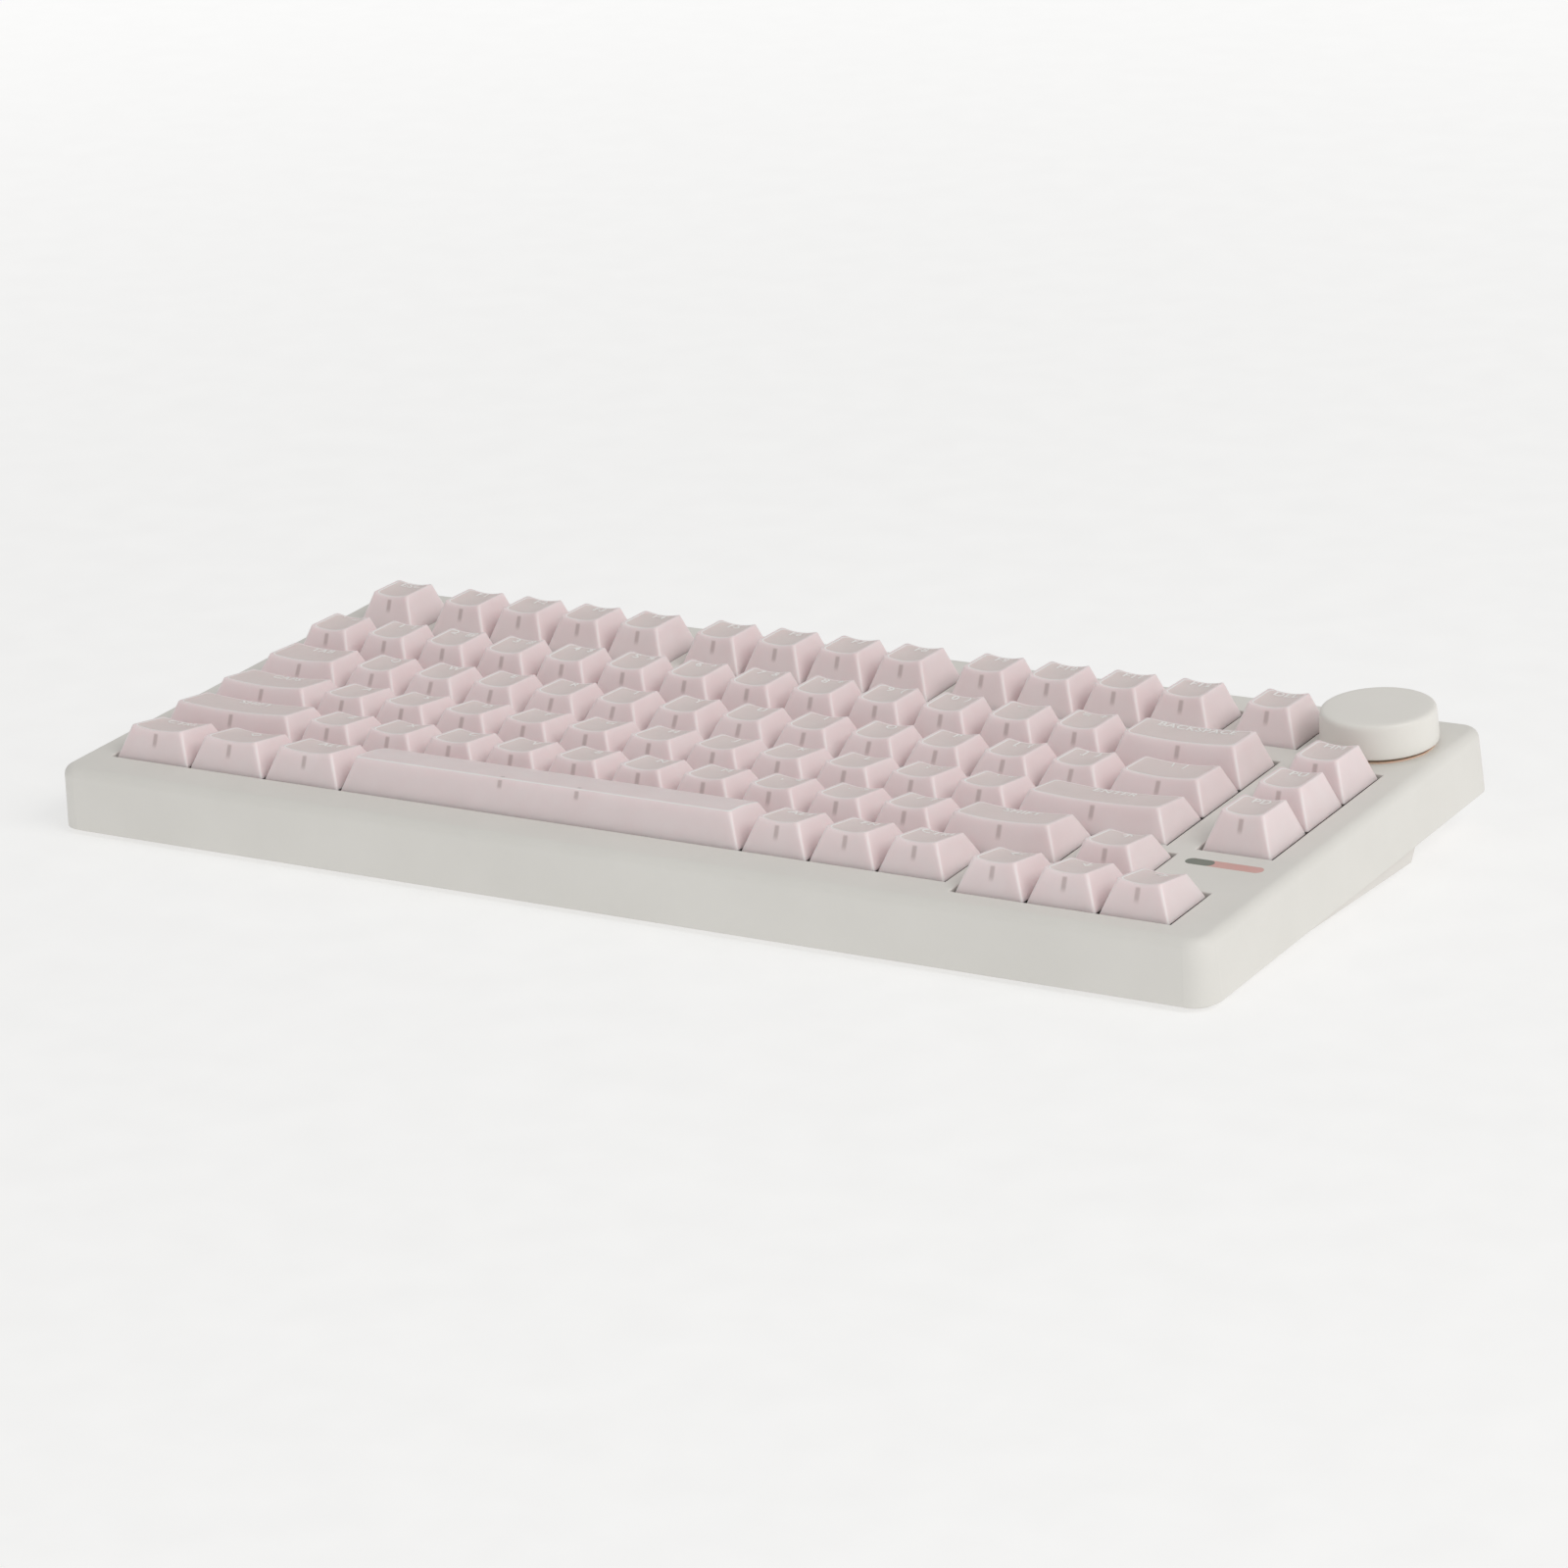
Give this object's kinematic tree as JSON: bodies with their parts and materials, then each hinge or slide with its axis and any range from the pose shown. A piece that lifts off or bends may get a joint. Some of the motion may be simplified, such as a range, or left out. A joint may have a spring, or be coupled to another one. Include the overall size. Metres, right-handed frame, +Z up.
{
  "type": "mechanical keyboard",
  "caption": "Compact mechanical keyboard: rows of sprung, dished keycaps and a push-and-turn knob in a slim wedge-backed case with folding feet.",
  "frame": {"origin": "centre of the bounding box, at the height of the desk the rubber pads stand on", "axes": "+X to the typist's right along the rows, +Y towards the back, +Z up; the key plane rises 3.28 degrees towards the back"},
  "size_m": [0.3334, 0.1494, 0.0354],
  "materials": {
    "case_shell": "fine matt, warm off-white",
    "case_base": "fine matt, warm off-white",
    "keycap": "frosted translucent pink with pale legends",
    "screw_steel": "zinc plated",
    "plate_metal": "dark satin paint",
    "board": "solder mask",
    "foam": "open-cell foam",
    "switch_plastic": "moulded nylon",
    "socket_plastic": "moulded",
    "stabiliser_plastic": "moulded nylon",
    "silicone": "silicone strip",
    "port_steel": "drawn steel shell",
    "port_plastic": "moulded",
    "encoder_metal": "stamped frame",
    "shaft_metal": "turned",
    "knob_plastic": "fine matt, cream",
    "ring_plastic": "warm tinted light ring",
    "pill_grey": "smooth grey-green window",
    "pill_pink": "smooth dusty-pink window",
    "pad_rubber": "soft rubber",
    "foot_plastic": "fine matt"
  },
  "bodies": {
    "case": {"top_case": "case_shell", "bottom_case": "case_base", "case_screws": "screw_steel", "switch_plate": "plate_metal", "circuit_board": "board", "plate_foam": "foam", "switch_housings": "switch_plastic", "switch_sockets": "socket_plastic", "stabilisers": "stabiliser_plastic", "gasket_strips": "silicone", "socket_board": "board", "port_shell": "port_steel", "port_tongue": "port_plastic", "encoder_body": "encoder_metal", "knob_ring": "ring_plastic", "pill_dark": "pill_grey", "pill_light": "pill_pink", "front_feet": "pad_rubber", "rear_feet": "pad_rubber", "flip_pins": "screw_steel"},
    "escape_key": {"key_escape": "keycap"},
    "f1_f4_keys": {"keys_f1_f4": "keycap"},
    "f5_f8_keys": {"keys_f5_f8": "keycap"},
    "f9_f12_keys": {"keys_f9_f12": "keycap"},
    "delete_key": {"key_delete": "keycap"},
    "number_left_keys": {"keys_number_left": "keycap"},
    "number_right_keys": {"keys_number_right": "keycap"},
    "backspace_key": {"key_backspace": "keycap"},
    "tab_key": {"key_tab": "keycap"},
    "q_left_keys": {"keys_q_left": "keycap"},
    "q_right_keys": {"keys_q_right": "keycap"},
    "backslash_key": {"key_backslash": "keycap"},
    "caps_key": {"key_caps": "keycap"},
    "a_left_keys": {"keys_a_left": "keycap"},
    "a_right_keys": {"keys_a_right": "keycap"},
    "enter_key": {"key_enter": "keycap"},
    "shift_left_key": {"key_shift_left": "keycap"},
    "z_left_keys": {"keys_z_left": "keycap"},
    "z_right_keys": {"keys_z_right": "keycap"},
    "shift_right_key": {"key_shift_right": "keycap"},
    "control_left_key": {"key_control_left": "keycap"},
    "system_key": {"key_system": "keycap"},
    "alt_left_key": {"key_alt_left": "keycap"},
    "space_key": {"key_space": "keycap"},
    "alt_right_key": {"key_alt_right": "keycap"},
    "function_key": {"key_function": "keycap"},
    "control_right_key": {"key_control_right": "keycap"},
    "up_key": {"key_up": "keycap"},
    "left_key": {"key_left": "keycap"},
    "down_key": {"key_down": "keycap"},
    "right_key": {"key_right": "keycap"},
    "home_key": {"key_home": "keycap"},
    "page_up_key": {"key_page_up": "keycap"},
    "page_down_key": {"key_page_down": "keycap"},
    "knob_plunger": {"encoder_plunger": "shaft_metal"},
    "knob": {"knob": "knob_plastic", "knob_shaft": "shaft_metal"},
    "flip_foot_left": {"flip_foot_left": "foot_plastic"},
    "flip_foot_right": {"flip_foot_right": "foot_plastic"}
  },
  "joints": [
    {"name": "escape_key_press", "type": "slide", "parent": "case", "child": "escape_key", "axis": [0, 0.0572, -0.9984], "range_m": [0, 0.0035], "stiffness_N_per_m": 60, "springref_m": -0.0058},
    {"name": "f1_f4_keys_press", "type": "slide", "parent": "case", "child": "f1_f4_keys", "axis": [0, 0.0572, -0.9984], "range_m": [0, 0.0035], "stiffness_N_per_m": 240, "springref_m": -0.0058},
    {"name": "f5_f8_keys_press", "type": "slide", "parent": "case", "child": "f5_f8_keys", "axis": [0, 0.0572, -0.9984], "range_m": [0, 0.0035], "stiffness_N_per_m": 240, "springref_m": -0.0058},
    {"name": "f9_f12_keys_press", "type": "slide", "parent": "case", "child": "f9_f12_keys", "axis": [0, 0.0572, -0.9984], "range_m": [0, 0.0035], "stiffness_N_per_m": 240, "springref_m": -0.0058},
    {"name": "delete_key_press", "type": "slide", "parent": "case", "child": "delete_key", "axis": [0, 0.0572, -0.9984], "range_m": [0, 0.0035], "stiffness_N_per_m": 60, "springref_m": -0.0058},
    {"name": "number_left_keys_press", "type": "slide", "parent": "case", "child": "number_left_keys", "axis": [0, 0.0572, -0.9984], "range_m": [0, 0.0035], "stiffness_N_per_m": 360, "springref_m": -0.0058},
    {"name": "number_right_keys_press", "type": "slide", "parent": "case", "child": "number_right_keys", "axis": [0, 0.0572, -0.9984], "range_m": [0, 0.0035], "stiffness_N_per_m": 420, "springref_m": -0.0058},
    {"name": "backspace_key_press", "type": "slide", "parent": "case", "child": "backspace_key", "axis": [0, 0.0572, -0.9984], "range_m": [0, 0.0035], "stiffness_N_per_m": 60, "springref_m": -0.0058},
    {"name": "tab_key_press", "type": "slide", "parent": "case", "child": "tab_key", "axis": [0, 0.0572, -0.9984], "range_m": [0, 0.0035], "stiffness_N_per_m": 60, "springref_m": -0.0058},
    {"name": "q_left_keys_press", "type": "slide", "parent": "case", "child": "q_left_keys", "axis": [0, 0.0572, -0.9984], "range_m": [0, 0.0035], "stiffness_N_per_m": 300, "springref_m": -0.0058},
    {"name": "q_right_keys_press", "type": "slide", "parent": "case", "child": "q_right_keys", "axis": [0, 0.0572, -0.9984], "range_m": [0, 0.0035], "stiffness_N_per_m": 420, "springref_m": -0.0058},
    {"name": "backslash_key_press", "type": "slide", "parent": "case", "child": "backslash_key", "axis": [0, 0.0572, -0.9984], "range_m": [0, 0.0035], "stiffness_N_per_m": 60, "springref_m": -0.0058},
    {"name": "caps_key_press", "type": "slide", "parent": "case", "child": "caps_key", "axis": [0, 0.0572, -0.9984], "range_m": [0, 0.0035], "stiffness_N_per_m": 60, "springref_m": -0.0058},
    {"name": "a_left_keys_press", "type": "slide", "parent": "case", "child": "a_left_keys", "axis": [0, 0.0572, -0.9984], "range_m": [0, 0.0035], "stiffness_N_per_m": 300, "springref_m": -0.0058},
    {"name": "a_right_keys_press", "type": "slide", "parent": "case", "child": "a_right_keys", "axis": [0, 0.0572, -0.9984], "range_m": [0, 0.0035], "stiffness_N_per_m": 360, "springref_m": -0.0058},
    {"name": "enter_key_press", "type": "slide", "parent": "case", "child": "enter_key", "axis": [0, 0.0572, -0.9984], "range_m": [0, 0.0035], "stiffness_N_per_m": 60, "springref_m": -0.0058},
    {"name": "shift_left_key_press", "type": "slide", "parent": "case", "child": "shift_left_key", "axis": [0, 0.0572, -0.9984], "range_m": [0, 0.0035], "stiffness_N_per_m": 60, "springref_m": -0.0058},
    {"name": "z_left_keys_press", "type": "slide", "parent": "case", "child": "z_left_keys", "axis": [0, 0.0572, -0.9984], "range_m": [0, 0.0035], "stiffness_N_per_m": 300, "springref_m": -0.0058},
    {"name": "z_right_keys_press", "type": "slide", "parent": "case", "child": "z_right_keys", "axis": [0, 0.0572, -0.9984], "range_m": [0, 0.0035], "stiffness_N_per_m": 300, "springref_m": -0.0058},
    {"name": "shift_right_key_press", "type": "slide", "parent": "case", "child": "shift_right_key", "axis": [0, 0.0572, -0.9984], "range_m": [0, 0.0035], "stiffness_N_per_m": 60, "springref_m": -0.0058},
    {"name": "control_left_key_press", "type": "slide", "parent": "case", "child": "control_left_key", "axis": [0, 0.0572, -0.9984], "range_m": [0, 0.0035], "stiffness_N_per_m": 60, "springref_m": -0.0058},
    {"name": "system_key_press", "type": "slide", "parent": "case", "child": "system_key", "axis": [0, 0.0572, -0.9984], "range_m": [0, 0.0035], "stiffness_N_per_m": 60, "springref_m": -0.0058},
    {"name": "alt_left_key_press", "type": "slide", "parent": "case", "child": "alt_left_key", "axis": [0, 0.0572, -0.9984], "range_m": [0, 0.0035], "stiffness_N_per_m": 60, "springref_m": -0.0058},
    {"name": "space_key_press", "type": "slide", "parent": "case", "child": "space_key", "axis": [0, 0.0572, -0.9984], "range_m": [0, 0.0035], "stiffness_N_per_m": 60, "springref_m": -0.0058},
    {"name": "alt_right_key_press", "type": "slide", "parent": "case", "child": "alt_right_key", "axis": [0, 0.0572, -0.9984], "range_m": [0, 0.0035], "stiffness_N_per_m": 60, "springref_m": -0.0058},
    {"name": "function_key_press", "type": "slide", "parent": "case", "child": "function_key", "axis": [0, 0.0572, -0.9984], "range_m": [0, 0.0035], "stiffness_N_per_m": 60, "springref_m": -0.0058},
    {"name": "control_right_key_press", "type": "slide", "parent": "case", "child": "control_right_key", "axis": [0, 0.0572, -0.9984], "range_m": [0, 0.0035], "stiffness_N_per_m": 60, "springref_m": -0.0058},
    {"name": "up_key_press", "type": "slide", "parent": "case", "child": "up_key", "axis": [0, 0.0572, -0.9984], "range_m": [0, 0.0035], "stiffness_N_per_m": 60, "springref_m": -0.0058},
    {"name": "left_key_press", "type": "slide", "parent": "case", "child": "left_key", "axis": [0, 0.0572, -0.9984], "range_m": [0, 0.0035], "stiffness_N_per_m": 60, "springref_m": -0.0058},
    {"name": "down_key_press", "type": "slide", "parent": "case", "child": "down_key", "axis": [0, 0.0572, -0.9984], "range_m": [0, 0.0035], "stiffness_N_per_m": 60, "springref_m": -0.0058},
    {"name": "right_key_press", "type": "slide", "parent": "case", "child": "right_key", "axis": [0, 0.0572, -0.9984], "range_m": [0, 0.0035], "stiffness_N_per_m": 60, "springref_m": -0.0058},
    {"name": "home_key_press", "type": "slide", "parent": "case", "child": "home_key", "axis": [0, 0.0572, -0.9984], "range_m": [0, 0.0035], "stiffness_N_per_m": 60, "springref_m": -0.0058},
    {"name": "page_up_key_press", "type": "slide", "parent": "case", "child": "page_up_key", "axis": [0, 0.0572, -0.9984], "range_m": [0, 0.0035], "stiffness_N_per_m": 60, "springref_m": -0.0058},
    {"name": "page_down_key_press", "type": "slide", "parent": "case", "child": "page_down_key", "axis": [0, 0.0572, -0.9984], "range_m": [0, 0.0035], "stiffness_N_per_m": 60, "springref_m": -0.0058},
    {"name": "knob_push", "type": "slide", "parent": "case", "child": "knob_plunger", "axis": [0, 0.0572, -0.9984], "range_m": [0, 0.0005], "stiffness_N_per_m": 800, "springref_m": -0.002},
    {"name": "knob_turn", "type": "hinge", "parent": "knob_plunger", "child": "knob", "pos_m": [0.1473, 0.05168, 0.03005], "axis": [0, -0.0572, 0.9984], "continuous": true},
    {"name": "flip_foot_left_fold", "type": "hinge", "parent": "case", "child": "flip_foot_left", "pos_m": [-0.09855, 0.00677, 0.004], "axis": [-1, 0, 0], "range_deg": [0, 90]},
    {"name": "flip_foot_right_fold", "type": "hinge", "parent": "case", "child": "flip_foot_right", "pos_m": [0.09845, 0.00677, 0.004], "axis": [-1, 0, 0], "range_deg": [0, 90]}
  ]
}
